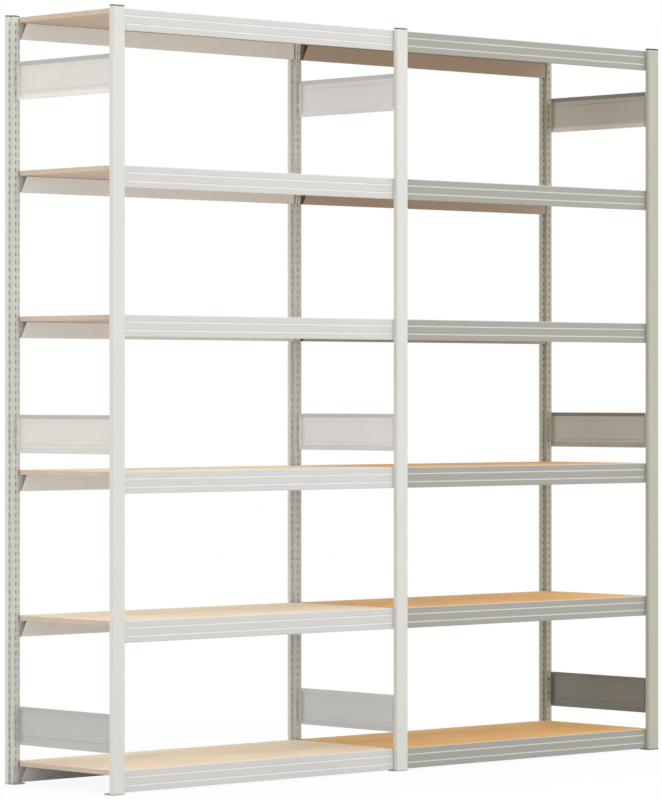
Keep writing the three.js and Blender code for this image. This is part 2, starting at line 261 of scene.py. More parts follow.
class FinishColours(bpy.types.PropertyGroup):
    pale_upright: colour("Pale uprights", "Paint of the left and middle uprights", (0.723, 0.723, 0.673))
    deep_upright: colour("Deep uprights", "Paint of the right uprights", (0.49, 0.486, 0.397))
    # Painted shade inside the uprights: near black in the right frame, so that its slots show dark, and paler
    # than the paint in the left and middle frames, so that theirs show light
    pale_inside: colour("Pale insides", "Insides of the left and middle uprights", (0.92, 0.92, 0.88))
    deep_inside: colour("Deep insides", "Insides of the right uprights", (0.012, 0.012, 0.01))
    pale_beam: colour("Pale beams", "Paint of the left bay's beams", (0.665, 0.66, 0.629))
    deep_beam: colour("Deep beams", "Paint of the right bay's beams", (0.378, 0.37, 0.328))
    pale_groove: colour("Pale grooves", "Where light gathers in the left bay's grooves", (0.8, 0.8, 0.78))
    deep_groove: colour("Deep grooves", "The same in the right bay's grooves", (0.66, 0.65, 0.6))
    # Painted light on the beams' inner walls and on the inside of their sheet: lighter than the beam paint,
    # and warmer in the right bay, in place of light sent up from the floor and the boards
    pale_wall: colour("Pale inner walls", "Inner walls of the left bay's beams", (0.86, 0.83, 0.78))
    deep_wall: colour("Deep inner walls", "Inner walls of the right bay's beams", (0.49, 0.397, 0.295))
    left_panel: colour("Left side panels", "The left frame's upper panels", (0.783, 0.755, 0.704))
    # The lowest panels' paints are darker copies of their frame's panel paint: painted shade
    left_low_panel: colour("Left lowest panel", "The left frame's lowest panel", (0.555, 0.54, 0.502))
    middle_panel: colour("Middle side panels", "The middle frame's upper panels", (0.868, 0.876, 0.879))
    middle_low_panel: colour("Middle lowest panel", "The middle frame's lowest panel", (0.69, 0.713, 0.72))
    right_panel: colour("Right side panels", "The right frame's upper panels", (0.531, 0.523, 0.47))
    right_low_panel: colour("Right lowest panel", "The right frame's lowest panel", (0.255, 0.257, 0.23))
    # Painted light and shade on the panels' slanted edges: each edge takes a lighter or darker tone of its
    # panel's paint, one tone per panel from the bottom up
    pale_upper: tones("Pale upper edges", "Tones of upper panel edges, lowest first", (1.14, 0.8, 0.77))
    pale_lower: tones("Pale lower edges", "The same for their lower edges", (0.93, 0.9, 1.1))
    deep_upper: tones("Deep upper edges", "The same for the right frame's upper edges", (1.1, 0.5, 0.5))
    deep_lower: tones("Deep lower edges", "The same for the right frame's lower edges", (0.85, 0.8, 1.6))
    # The upper faces of the boards under other shelves are lighter than the top board's: painted light in
    # place of what the shelf above shades
    pale_board: colour("Pale boards", "Upper chipboard faces of the left bay", (1.0, 0.778, 0.572))
    deep_board: colour("Deep boards", "Upper chipboard faces of the right bay", (0.82, 0.46, 0.142))
    pale_open_board: colour("Pale top board", "Left top shelf, in open light", (0.78, 0.62, 0.46))
    deep_open_board: colour("Deep top board", "Right top shelf, in open light", (0.7, 0.39, 0.12))
    pale_edge: colour("Pale board edges", "Chipboard edges of the left bay", (0.66, 0.53, 0.41))
    deep_edge: colour("Deep board edges", "Chipboard edges of the right bay", (0.4, 0.25, 0.11))
    # Painted shade on the boards' undersides, darker than their upper faces
    pale_under: colour("Pale undersides", "Lower chipboard faces of the left bay", (0.66, 0.52, 0.4))
    deep_under: colour("Deep undersides", "Lower chipboard faces of the right bay", (0.55, 0.31, 0.11))
    pale_plastic: colour("Pale plastic", "Caps of the left and middle frames", (0.13, 0.13, 0.125))
    deep_plastic: colour("Deep plastic", "Caps of the right frame", (0.022, 0.022, 0.02))
    pale_plate: colour("Pale foot plates", "Foot plates of the left and middle frames", (0.42, 0.42, 0.4))
    deep_plate: colour("Deep foot plates", "Foot plates of the right frame", (0.06, 0.06, 0.055))
    paint_roughness: share("Paint roughness", "Roughness of the powder coat", 0.42)
    board_roughness: share("Board roughness", "Roughness of the chipboard", 0.72)
    cap_roughness: share("Cap roughness", "Roughness of the caps", 0.5)
    face_contrast: share("Face contrast", "How far the chips differ from the board's colour", 0.13)
    patch_contrast: share("Patch contrast", "How far the wide patches differ from it", 0.08)
    edge_contrast: share("Edge contrast", "How far the chips do so on the board's edges", 0.14)
    calm_bounce: share("Calm bounce", "How much of a board's tint is kept off the light it sends on", 0.45)


class StageSettings(bpy.types.PropertyGroup):
    camera_x: number("Camera X", "Camera place along the bays", -9.835, unit="LENGTH")
    camera_y: number("Camera Y", "Camera place in front of the unit", -10.454, unit="LENGTH")
    camera_z: number("Camera Z", "Camera height", 1.273, unit="LENGTH")
    camera_turn: number("Camera turn", "Turn to the right of ahead", math.radians(43.036), unit="ROTATION")
    lens: number("Lens", "Focal length for a 36 mm long side", 188.73, min=1, unit="CAMERA")
    shift: number("Shift", "Vertical shift of the lens", -0.00774)
    sky: number("Sky", "Strength of the even light from all sides", 1.06, min=0)
    overhead: number("Overhead lamp", "Power of the wide lamp above the unit", 40, min=0, unit="POWER")
    front: number("Front lamp", "Power of the wide lamp high in front of it", 120, min=0, unit="POWER")
    bounce: colour("Bounce", "Colour with which the floor sends light back up", (0.68, 0.68, 0.68))
    floor: colour("Floor", "Colour of the floor as it is seen", (0.9, 0.9, 0.9))
    floor_share: share("Floor white", "How much of the floor the camera sees as plain white", 0.92)


SETTINGS = {
    "upright": UprightSizes,
    "foot": FootSizes,
    "cap": CapSizes,
    "beam": BeamSizes,
    "hook": HookSizes,
    "panel": PanelSizes,
    "board": BoardSizes,
    "finish": FinishColours,
    "stage": StageSettings,
}


def settings(part):
    return getattr(bpy.context.scene, "shelving_" + part)


# Drawing outlines

def half_width(box):
    return (box[1].x - box[0].x) / 2


def middle_x(box):
    return (box[0].x + box[1].x) / 2


def arc(centre, start, end, radius, steps):
    """Points round a centre, from one direction to another."""
    return [centre + start.slerp(end, k / steps) * radius for k in range(steps + 1)]


def rounded(corners, steps=4):
    """A closed outline's points, with corners given as x, y and radius made arcs, and each arc's start."""
    points, starts = [], []
    for i, (x, y, radius) in enumerate(corners):
        here = Vector((x, y))
        before = (Vector(corners[i - 1][:2]) - here).normalized()
        after = (Vector(corners[(i + 1) % len(corners)][:2]) - here).normalized()
        starts.append(len(points))
        if not radius:
            points.append(here)
            continue
        half = before.angle(after) / 2
        centre = here + (before + after).normalized() * (radius / math.sin(half))
        reach = radius / math.tan(half)
        points += arc(centre, here + before * reach - centre, here + after * reach - centre, radius, steps)
    return points, starts


def open_line(corners, steps=3):
    """The points of an open line whose inner corners, given as x, y and radius, become arcs."""
    points = [Vector(corners[0][:2])]
    for before, (x, y, radius), after in zip(corners, corners[1:], corners[2:]):
        point = Vector((x, y))
        back, ahead = Vector(before[:2]) - point, Vector(after[:2]) - point
        angle = back.angle(ahead)
        if angle > math.pi - STRAIGHT_TURN:
            points += [point + back * STRAIGHT_SHARE * (1 - k / steps) for k in range(steps + 1)]
            continue
        reach = min(radius / math.tan(angle / 2), back.length * BEND_REACH, ahead.length * BEND_REACH)
        radius = reach * math.tan(angle / 2)
        back, ahead = back.normalized(), ahead.normalized()
        centre = point + (back + ahead).normalized() * (radius / math.sin(angle / 2))
        points += arc(centre, point + back * reach - centre, point + ahead * reach - centre, radius, steps)
    points.append(Vector(corners[-1][:2]))
    return points


def inset(corners, distance):
    """The same corners moved inwards, with the bends kept concentric; the outline runs anticlockwise."""
    moved = []
    for i, (x, y, radius) in enumerate(corners):
        here = Vector((x, y))
        into = (here - Vector(corners[i - 1][:2])).normalized()
        out = (Vector(corners[(i + 1) % len(corners)][:2]) - here).normalized()
        turn = into.x * out.y - into.y * out.x
        scale = distance / (1 + into.dot(out))
        bend = max(radius - distance, LEAST_BEND) if turn > 0 else radius + distance
        moved.append((x - (into.y + out.y) * scale, y + (into.x + out.x) * scale, bend if radius else 0))
    return moved


def both_sides(corners):
    """The right side's corners, from the front, followed by the same on the left, from the back."""
    return corners + [(-x, y, radius) for x, y, radius in corners[::-1]]


def upright_corners():
    """The upright's outline, seen from above with its face at zero depth."""
    size = settings("upright")
    half = half_width(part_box("left_front_upright"))
    stem = size.stem_width / 2
    return [
        (-half, 0, size.front_bend),
        (half, 0, size.front_bend),
        (half, size.head_depth, size.back_bend),
        (stem, size.head_depth, size.stem_bend),
        (stem, size.depth, size.back_bend),
        (-stem, size.depth, size.back_bend),
        (-stem, size.head_depth, size.stem_bend),
        (-half, size.head_depth, size.back_bend),
    ]


def hook_outline(root, slot_middle):
    """A hook from its root, over the edge of a slot and down behind the wall; depth first, height second."""
    size, upright = settings("hook"), settings("upright")
    seat = slot_middle - upright.slot_height / 2 + size.gap
    back = -(size.gap + upright.wall + size.gap)
    tip = back - size.nose
    shoulder, outside, inside = [size.nose * part for part in HOOK_ROUNDS]
    return [
        (root, seat, 0),
        (root, seat + size.height, 0),
        (tip, seat + size.height, shoulder),
        (tip, seat - size.drop, outside),
        (back, seat - size.drop, inside),
        (back, seat, size.gap),
    ]


# Mesh making

def in_scene(name, data):
    """A new object, linked to the scene."""
    obj = bpy.data.objects.new(name, data)
    bpy.context.scene.collection.objects.link(obj)
    return obj


def finish_layer(mesh):
    """The layer of a bmesh that says which of its piece's finishes each face has."""
    return mesh.faces.layers.int.get("finish") or mesh.faces.layers.int.new("finish")


def add_face(mesh, points, finish=0):
    """A face of its own points, with one of the piece's finishes."""
    mark = finish_layer(mesh)
    mesh.faces.new([mesh.verts.new(p) for p in points])[mark] = finish


def add_walls(mesh, lower, upper):
    """Faces between two rings of points."""
    for i, p in enumerate(lower):
        j = (i + 1) % len(lower)
        add_face(mesh, [p, lower[j], upper[j], upper[i]])


def as_mesh(name, mesh, weld=WELD_DISTANCE):
    """Welds a bmesh and turns it into a mesh."""
    bmesh.ops.remove_doubles(mesh, verts=mesh.verts, dist=weld)
    made = bpy.data.meshes.new(name)
    mesh.to_mesh(made)
    mesh.free()
    return made


def closed_mesh(name, mesh):
    """The same for a closed body, whose faces are turned outwards once they are welded."""
    bmesh.ops.remove_doubles(mesh, verts=mesh.verts, dist=WELD_DISTANCE)
    bmesh.ops.recalc_face_normals(mesh, faces=mesh.faces)
    return as_mesh(name, mesh)


def joined(name, *meshes):
    """One mesh of several, with touching edges welded."""
    mesh = bmesh.new()
    for part in meshes:
        mesh.from_mesh(part)
    return as_mesh(name, mesh)


def evaluated(mesh, kind, **values):
    """A mesh after a modifier of this kind with these settings."""
    holder = in_scene("holder", mesh)
    modifier = holder.modifiers.new(kind, kind)
    for key, value in values.items():
        if hasattr(modifier, key):
            setattr(modifier, key, value)
        else:
            modifier[key] = value
    bpy.context.view_layer.update()
    graph = bpy.context.evaluated_depsgraph_get()
    made = bpy.data.meshes.new_from_object(holder.evaluated_get(graph))
    bpy.data.objects.remove(holder)
    return made


def with_finishes(mesh):
    """Gives each face the finish it is marked for."""
    for face, mark in zip(mesh.polygons, mesh.attributes["finish"].data):
        face.material_index = mark.value
    return mesh


def softened(mesh, angle=SHARP_ANGLE):
    """Smooth bends between flat faces, with sharp sheet edges kept."""
    mesh.polygons.foreach_set("use_smooth", [True] * len(mesh.polygons))
    mesh.set_sharp_from_angle(angle=angle)
    return evaluated(mesh, "WEIGHTED_NORMAL", keep_sharp=True, weight=NORMAL_WEIGHT)


def slab(mesh, corners, low, high, edge=0.0, steps=4, both=False):
    """A plate with a rounded outline, and with its upper edge, or both, broken by a small round."""
    step = edge * EDGE_ROUND
    levels = [(low, edge), (low + step, step), (low + edge, 0.0)] if both else [(low, 0.0)]
    levels += [(high - edge, 0.0), (high - step, step), (high, edge)] if edge else [(high, 0.0)]
    rings = []
    for level, distance in levels:
        points, _ = rounded(inset(corners, distance) if distance else corners, steps)
        rings.append([Vector((p.x, p.y, level)) for p in points])
    add_face(mesh, rings[0][::-1])
    add_face(mesh, rings[-1])
    for lower, upper in zip(rings, rings[1:]):
        add_walls(mesh, lower, upper)


def prism(mesh, corners, low, high, axes, steps=4):
    """A rounded outline extruded between two places; axes is the matrix that lays it the right way."""
    points, _ = rounded(corners, steps)
    start, end = [[axes @ Vector((p.x, p.y, place)) for p in points] for place in (low, high)]
    add_face(mesh, start[::-1])
    add_face(mesh, end)
    add_walls(mesh, start, end)


def opening_points(width, height, corner, steps=3):
    """A rounded opening about its own middle, anticlockwise from the lower right bend."""
    across, up = width / 2 - corner, height / 2 - corner
    points = []
    for k, (x, y) in enumerate([(across, -up), (across, up), (-across, up), (-across, -up)]):
        for step in range(steps + 1):
            angle = math.pi / 2 * (k - 1 + step / steps)
            points.append(Vector((x + corner * math.cos(angle), y + corner * math.sin(angle))))
    return points


def wall_with_opening(mesh, outer, inner, low, high, opening):
    """Both sides of one flat of a hollow wall, with an opening given as across, height and its points."""
    start, end = outer
    along = (end - start).normalized()
    inward = Vector((-along.y, along.x))
    wall = (inner[0] - start).dot(inward)
    across, middle, points = opening
    side = max(p.x for p in points)
    bend = max(p.y for p in points if p.x > side - LEAST_BEND / 10)
    below, above = middle - bend, middle + bend
    count = len(points) // 4

    def place(a, z, depth):
        flat = start + along * a + inward * depth
        return Vector((flat.x, flat.y, z))

    for depth, ends in ((0.0, outer), (wall, inner)):
        near, far = [(p - start).dot(along) for p in ends]
        hole = [(across + p.x, middle + p.y) for p in points]
        left, right = across - side, across + side
        shapes = [
            [(left, low), (right, low)] + hole[:count][::-1] + hole[3 * count:][::-1],
            [(right, high), (left, high)] + hole[2 * count:3 * count][::-1] + hole[count:2 * count][::-1],
            [(right, low), (far, low), (far, high), (right, high), (right, above), (right, below)],
            [(near, low), (left, low), (left, below), (left, above), (left, high), (near, high)],
        ]
        for shape in shapes:
            placed = [place(a, z, depth) for a, z in shape]
            add_face(mesh, placed[::-1] if depth else placed, bool(depth))
    for k, p in enumerate(points):
        q = points[(k + 1) % len(points)]
        sides = [(p, 0.0), (q, 0.0), (q, wall), (p, wall)]
        add_face(mesh, [place(across + c.x, middle + c.y, depth) for c, depth in sides])


def hollow_length(mesh, corners, wall, low, high, openings=None, ends=()):
    """A length of hollow section; openings maps a corner to the opening in the flat that follows it."""
    outer, starts = rounded(corners)
    inner, _ = rounded(inset(corners, wall))
    openings = openings or {}
    flats = {(start - 1) % len(outer): (k - 1) % len(corners) for k, start in enumerate(starts)}
    for i, p in enumerate(outer):
        j = (i + 1) % len(outer)
        if flats.get(i) in openings:
            place, *opening = openings[flats[i]]
            across = (Vector(place) - p).dot((outer[j] - p).normalized())
            wall_with_opening(mesh, (p, outer[j]), (inner[i], inner[j]), low, high, (across, *opening))
            continue
        for ring, flip in ((outer, False), (inner, True)):
            a, b = ring[i], ring[j]
            points = [(a.x, a.y, low), (b.x, b.y, low), (b.x, b.y, high), (a.x, a.y, high)]
            add_face(mesh, points[::-1] if flip else points, flip)
    for level in ends:
        for i, p in enumerate(outer):
            j = (i + 1) % len(outer)
            points = [(c.x, c.y, level) for c in (p, outer[j], inner[j], inner[i])]
            add_face(mesh, points if level > low else points[::-1])


# Nodes

def plug(tree, socket, value):
    """Links another socket to this one, or sets it; a colour is given as three values."""
    if isinstance(value, bpy.types.NodeSocket):
        tree.links.new(value, socket)
    else:
        socket.default_value = (*value, 1) if socket.type == "RGBA" else value


def add_node(tree, kind, *values, **inputs):
    """A node whose inputs are plugged in order and by name."""
    node = tree.nodes.new(kind)
    for socket, value in zip(node.inputs, values):
        plug(tree, socket, value)
    for name, value in inputs.items():
        plug(tree, node.inputs[name.replace("_", " ")], value)
    return node


def node_group(name, kind, inputs, outputs):
    """An empty node group, the sockets that it takes from and those that it gives to."""
    tree = bpy.data.node_groups.new(name, kind)
    for way, sockets in (("INPUT", inputs), ("OUTPUT", outputs)):
        for socket, data in sockets.items():
            tree.interface.new_socket(socket, in_out=way, socket_type="NodeSocket" + data)
    return tree, tree.nodes.new("NodeGroupInput").outputs, tree.nodes.new("NodeGroupOutput").inputs


def repeat_tree():
    """A tree that repeats what it is given upwards, welds the copies and gives them one finish."""
    name = "Repeat upwards"
    if name in bpy.data.node_groups:
        return bpy.data.node_groups[name]
    inputs = {"Module": "Geometry", "Count": "Int", "Pitch": "Float", "Finish": "Material"}
    tree, given, result = node_group(name, "GeometryNodeTree", inputs, {"Geometry": "Geometry"})
    step = add_node(tree, "ShaderNodeCombineXYZ", Z=given["Pitch"])
    line = add_node(tree, "GeometryNodeMeshLine", Count=given["Count"], Offset=step.outputs["Vector"])
    line.mode = "OFFSET"
    copies = add_node(tree, "GeometryNodeInstanceOnPoints", line.outputs["Mesh"], Instance=given["Module"])
    real = add_node(tree, "GeometryNodeRealizeInstances", copies.outputs["Instances"])
    weld = add_node(tree, "GeometryNodeMergeByDistance", real.outputs["Geometry"], Distance=WELD_DISTANCE)
    finish = add_node(tree, "GeometryNodeSetMaterial", weld.outputs["Geometry"], Material=given["Finish"])
    plug(tree, result["Geometry"], finish.outputs["Geometry"])
    return tree


def repeated(module, count, pitch, finish):
    """A mesh of so many copies of a module, one above another."""
    tree = repeat_tree()
    wanted = {"Count": count, "Pitch": pitch, "Finish": finish}
    sockets = tree.interface.items_tree
    values = {socket.identifier: wanted[socket.name] for socket in sockets if socket.name in wanted}
    return evaluated(module, "NODES", node_group=tree, **values)


def hook_pair(outline, across, pitch, finish):
    """Two hooks, one above the other."""
    mesh, half = bmesh.new(), settings("hook").width / 2
    prism(mesh, outline, across - half, across + half, ALONG_X, 3)
    return repeated(closed_mesh("hook", mesh), 2, pitch, finish)


def math_node(tree, operation, first, second):
    """The result of a math node on two values, each a socket or a number."""
    node = add_node(tree, "ShaderNodeMath", first, second)
    node.operation = operation
    return node.outputs[0]


def product(tree, first, second):
    return math_node(tree, "MULTIPLY", first, second)


def total(tree, first, *others):
    for value in others:
        first = math_node(tree, "ADD", first, value)
    return first


def mixed(tree, factor, first, second):
    """A mix of two colours, each a socket or three values."""
    node = add_node(tree, "ShaderNodeMix", factor)
    node.data_type = "RGBA"
    for socket, value in zip(node.inputs[MIX_COLOURS], (first, second)):
        plug(tree, socket, value)
    return node.outputs[MIX_RESULT]


def noise(tree, vector, scale, detail, roughness=0.5):
    node = add_node(tree, "ShaderNodeTexNoise", vector, Scale=scale, Detail=detail, Roughness=roughness)
    return node.outputs["Fac"]


def between(tree, value, low, high):
    """How far a value is on its way from one number to another."""
    return add_node(tree, "ShaderNodeMapRange", value, From_Min=low, From_Max=high).outputs["Result"]


# Finishes

def coating_group():
    """Tone and height of a sprayed coat: slow clouds and flecks, and the fine skin of baked powder."""
    name = "Sprayed coat"
    if name in bpy.data.node_groups:
        return bpy.data.node_groups[name]
    inputs = {"Vector": "Vector", "Cloud scale": "Float", "Skin scale": "Float"}
    tree, given, result = node_group(name, "ShaderNodeTree", inputs, {"Tone": "Float", "Height": "Float"})
    place, grain = given["Vector"], given["Skin scale"]
    cloud = noise(tree, place, given["Cloud scale"], detail=4.0, roughness=0.6)
    fleck = noise(tree, place, product(tree, grain, FLECK_SCALE), detail=3.0, roughness=0.7)
    tone = total(tree, product(tree, cloud, CLOUD_WEIGHT), product(tree, fleck, 1 - CLOUD_WEIGHT))
    plug(tree, result["Tone"], tone)
    plug(tree, result["Height"], noise(tree, place, grain, detail=1.0))
    return tree


def dust_group():
    """A mask of the dust that settles on what faces upwards, broken up by a slow noise."""
    name = "Settled dust"
    if name in bpy.data.node_groups:
        return bpy.data.node_groups[name]
    inputs = {"Vector": "Vector", "Amount": "Float"}
    tree, given, result = node_group(name, "ShaderNodeTree", inputs, {"Mask": "Float"})
    normal = tree.nodes.new("ShaderNodeNewGeometry").outputs["Normal"]
    facing = between(tree, add_node(tree, "ShaderNodeSeparateXYZ", normal).outputs["Z"], low=0.4, high=1.0)
    patches = noise(tree, given["Vector"], scale=9.0, detail=5.0, roughness=0.65)
    plug(tree, result["Mask"], product(tree, product(tree, facing, patches), given["Amount"]))
    return tree


def chip_group():
    """Tone and height of pressed wood chips, and wide soft patches where more of the light ones lie."""
    name = "Pressed chips"
    if name in bpy.data.node_groups:
        return bpy.data.node_groups[name]
    inputs = {"Vector": "Vector", "Flake scale": "Float"}
    outputs = {"Tone": "Float", "Height": "Float", "Patch": "Float"}
    tree, given, result = node_group(name, "ShaderNodeTree", inputs, outputs)
    layers = []
    for factor, stretch, weight in CHIP_LAYERS:
        turned = add_node(tree, "ShaderNodeMapping", given["Vector"], Rotation=(0, 0, factor), Scale=stretch)
        scale = product(tree, given["Flake scale"], factor)
        cells = add_node(tree, "ShaderNodeTexVoronoi", Vector=turned.outputs["Vector"], Scale=scale)
        split = add_node(tree, "ShaderNodeSeparateColor", cells.outputs["Color"])
        layers.append(product(tree, split.outputs["Red"], weight))
    slow = noise(tree, given["Vector"], scale=5.0, detail=4.0, roughness=0.6)
    plug(tree, result["Tone"], total(tree, *layers, product(tree, slow, SLOW_WEIGHT)))
    plug(tree, result["Height"], total(tree, layers[0], layers[2]))
    wide = add_node(tree, "ShaderNodeMapping", given["Vector"], Scale=PATCH_STRETCH).outputs["Vector"]
    patch = noise(tree, wide, scale=3.2, detail=3.0, roughness=0.55)
    plug(tree, result["Patch"], between(tree, patch, low=0.3, high=0.7))
    return tree


def shaded(base, factor):
    return tuple(min(1.0, channel * factor) for channel in base)


class Finish:
    """A material under construction: a Principled shader fed by object coordinates."""

    def __init__(self, name):
        self.material = bpy.data.materials.new(name)
        self.material.use_nodes = True
        self.tree = self.material.node_tree
        self.shader = self.tree.nodes["Principled BSDF"]
        self.place = self.tree.nodes.new("ShaderNodeTexCoord").outputs["Object"]

    def group(self, tree, **values):
        node = self.tree.nodes.new("ShaderNodeGroup")
        node.node_tree = tree
        for key, value in {"Vector": self.place, **values}.items():
            plug(self.tree, node.inputs[key.replace("_", " ")], value)
        return node.outputs

    def mottled(self, tone, base, spread, level=1.0):
        """The base colour at a level, darker and lighter by a spread where the tone is low and high."""
        return mixed(self.tree, tone, shaded(base, level * (1 - spread)), shaded(base, level * (1 + spread)))

    def fed(self, colour, surface, roughness, depth, strength):
        """The material, with a colour, and with a roughness and a bump that follow its surface."""
        tree, inputs, (low, high) = self.tree, self.shader.inputs, roughness
        rough = add_node(tree, "ShaderNodeMapRange", surface["Tone"], To_Min=low, To_Max=high)
        bump = add_node(tree, "ShaderNodeBump", Distance=depth, Strength=strength, Height=surface["Height"])
        plug(tree, inputs["Base Color"], colour)
        plug(tree, inputs["Roughness"], rough.outputs["Result"])
        plug(tree, inputs["Normal"], bump.outputs["Normal"])
        return self.material


def coated(name, base, roughness, dust, spreads, scales, depth, strength):
    """A sprayed or moulded surface; spreads are how far its colour and its roughness vary."""
    if name in bpy.data.materials:
        return bpy.data.materials[name]
    coat, (colour_spread, rough_spread), (amount, dust_colour) = Finish(name), spreads, dust
    skin = coat.group(coating_group(), Cloud_scale=scales[0], Skin_scale=scales[1])
    settled = coat.group(dust_group(), Amount=amount)
    colour = mixed(coat.tree, settled["Mask"], coat.mottled(skin["Tone"], base, colour_spread), dust_colour)
    return coat.fed(colour, skin, (roughness - rough_spread, roughness + rough_spread), depth, strength)


def paint(kind, tone=1.0):
    """Powder-coated steel in the colour of one kind of piece, or in a lighter or darker tone of it, which
    paints light and shade on the side panels' edges.
    """
    colours = settings("finish")
    name = kind.replace("_", " ") + (" paint" if tone == 1 else f" paint at {tone:.2f}")
    base = shaded(getattr(colours, kind), tone)
    look = {"spreads": (0.05, 0.06), "scales": (6.0, 900.0), "depth": 0.00012, "strength": 0.25}
    return coated(name, base, colours.paint_roughness, PAINT_DUST, **look)


def plastic(kind):
    """Moulded plastic with a fine grain, for the caps and the foot plates."""
    colours = settings("finish")
    name, base = kind.replace("_", " ") + " moulding", getattr(colours, kind)
    look = {"spreads": (0.2, 0.08), "scales": (40.0, 2200.0), "depth": 0.00015, "strength": 0.5}
    return coated(name, base, colours.cap_roughness, PLASTIC_DUST, **look)


def chipboard(kind):
    """Pressed chipboard, sanded on its faces and rough on its sawn edges."""
    name = kind.replace("_", " ") + " chipboard"
    if name in bpy.data.materials:
        return bpy.data.materials[name]
    colours, wood = settings("finish"), Finish(name)
    base, roughness = getattr(colours, kind), colours.board_roughness
    if kind.endswith("edge"):
        spread, flakes, depth, strength = colours.edge_contrast, 260.0, 0.0003, 0.3
    else:
        spread, flakes, depth, strength = colours.face_contrast, 150.0, 0.00012, 0.2
    chips, contrast = wood.group(chip_group(), Flake_scale=flakes), colours.patch_contrast
    dim, lit = [wood.mottled(chips["Tone"], base, spread, level) for level in (1 - contrast, 1 + contrast)]
    bounced = wood.tree.nodes.new("ShaderNodeLightPath").outputs["Is Diffuse Ray"]
    calm = product(wood.tree, bounced, colours.calm_bounce)
    colour = mixed(wood.tree, calm, mixed(wood.tree, chips["Patch"], dim, lit), (sum(base) / 3,) * 3)
    return wood.fed(colour, chips, (roughness - 0.08, roughness + 0.1), depth, strength)


# Placing

def add_piece(name, mesh, place, body, slot, finishes, *nodes):
    """Puts a copy of a mesh in its place, as a piece that rides on a body and stands for the named nodes."""
    mesh = mesh.copy()
    mesh.transform(place)
    marks = [face.material_index for face in mesh.polygons]
    mesh.materials.clear()
    for finish in finishes:
        mesh.materials.append(finish)
    mesh.polygons.foreach_set("material_index", marks)
    obj = in_scene(name, mesh)
    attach(obj, body)
    if nodes:
        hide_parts(*nodes)


def faced(end, *place):
    """The matrix that puts a piece drawn for the front in its place, turned round at the rear."""
    matrix = Matrix.Translation(place)
    return matrix if end == "front" else matrix @ HALF_TURN


def each_post():
    """Frame, end, tone and place of each of the six uprights."""
    for frame_name, tone in FRAME_TONES.items():
        for end in ENDS:
            low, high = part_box(f"{frame_name}_{end}_upright")
            face = low.y if end == "front" else high.y
            yield frame_name, end, tone, faced(end, middle_x((low, high)), face, 0)


# Pieces

class SHELVING_OT_uprights(bpy.types.Operator):
    """Roll-formed uprights with three columns of slots"""

    bl_idname = "shelving.uprights"
    bl_label = "Uprights"

    def section(self, low, high, openings=None, ends=()):
        mesh = bmesh.new()
        hollow_length(mesh, upright_corners(), settings("upright").wall, low, high, openings, ends)
        return as_mesh("upright length", mesh)

    def slots(self, low):
        """One slot in each shoulder and one in the back of the stem; each follows a corner of the outline."""
        size = settings("upright")
        points = opening_points(size.slot_width, size.slot_height, size.slot_corner)
        shape = (low + size.slot_pitch / 2, points)
        return {
            RIGHT_SHOULDER: ((size.slot_across, size.head_depth), *shape),
            STEM_BACK: ((0, size.depth), *shape),
            LEFT_SHOULDER: ((-size.slot_across, size.head_depth), *shape),
        }

    def build(self, finish, with_hole):
        size, cap = settings("upright"), settings("cap")
        pitch, foot = size.slot_pitch, settings("foot").thickness * SUNK_SHARE
        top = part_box("left_front_cap")[1].z - cap.thickness - cap.gap
        first = size.lowest_slot - pitch / 2
        below = int((size.hole_height - first) // pitch)
        hole, last = first + below * pitch, first + size.slot_count * pitch
        openings = self.slots(hole)
        if with_hole:
            oval = opening_points(size.hole_width, size.hole_rise, size.hole_width * NEARLY_HALF)
            openings[FACE] = ((size.hole_across, 0), size.hole_height, oval)

        def slotted(start, count):
            return repeated(self.section(start, start + pitch, self.slots(start)), count, pitch, finish)

        parts = [
            self.section(foot, first, ends=(foot,)),
            slotted(first, below),
            self.section(hole, hole + pitch, openings),
            slotted(hole + pitch, size.slot_count - below - 1),
            self.section(last, top, ends=(top,)),
        ]
        return with_finishes(softened(joined("upright", *parts)))

    def execute(self, context):
        meshes = {}
        for frame_name, end, tone, place in each_post():
            with_hole = end == "front" and frame_name == "middle"
            # The second finish is painted shade on the inner faces of the uprights
            finishes = [paint(tone + "_upright"), paint(tone + "_inside")]
            if (tone, with_hole) not in meshes:
                meshes[tone, with_hole] = self.build(finishes[0], with_hole)
            name, mesh = f"{frame_name}_{end}_upright", meshes[tone, with_hole]
            add_piece(name + "_section", mesh, place, RACK, tone + "_paint", finishes, name)
        return {"FINISHED"}


class SHELVING_OT_feet(bpy.types.Operator):
    """Foot plates with a bracket round the stem"""

    bl_idname = "shelving.feet"
    bl_label = "Foot plates"

    def plate(self):
        size, half = settings("foot"), half_width(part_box("left_front_upright"))
        mesh = bmesh.new()
        corners = [(half, 0, settings("upright").front_bend), (half, size.reach, size.corner)]
        slab(mesh, both_sides(corners), 0, size.thickness, size.broken_edge)
        return softened(as_mesh("foot plate", mesh))

    def bracket(self):
        size, upright = settings("foot"), settings("upright")
        sheet, bend = size.bracket_sheet, upright.back_bend
        near, far = [upright.stem_width / 2 + size.bracket_gap + depth for depth in (0, sheet)]
        back, start = upright.depth + size.bracket_gap, upright.head_depth + size.bracket_gap
        outside = both_sides([(far, start, 0), (far, back + sheet, bend + sheet)])
        inside = both_sides([(near, start, 0), (near, back, bend)])
        mesh = bmesh.new()
        foot = size.thickness * SUNK_SHARE
        slab(mesh, outside + inside[::-1], foot, size.bracket_height, size.broken_edge)
        return softened(as_mesh("foot bracket", mesh))

    def execute(self, context):
        plate, bracket = self.plate(), self.bracket()
        for frame_name, end, tone, place in each_post():
            name = f"{frame_name}_{end}_foot"
            add_piece(name + "_plate", plate, place, RACK, "cap_plastic", [plastic(tone + "_plate")])
            add_piece(name + "_bracket", bracket, place, RACK, tone + "_paint", [paint(tone + "_upright")])
        return {"FINISHED"}


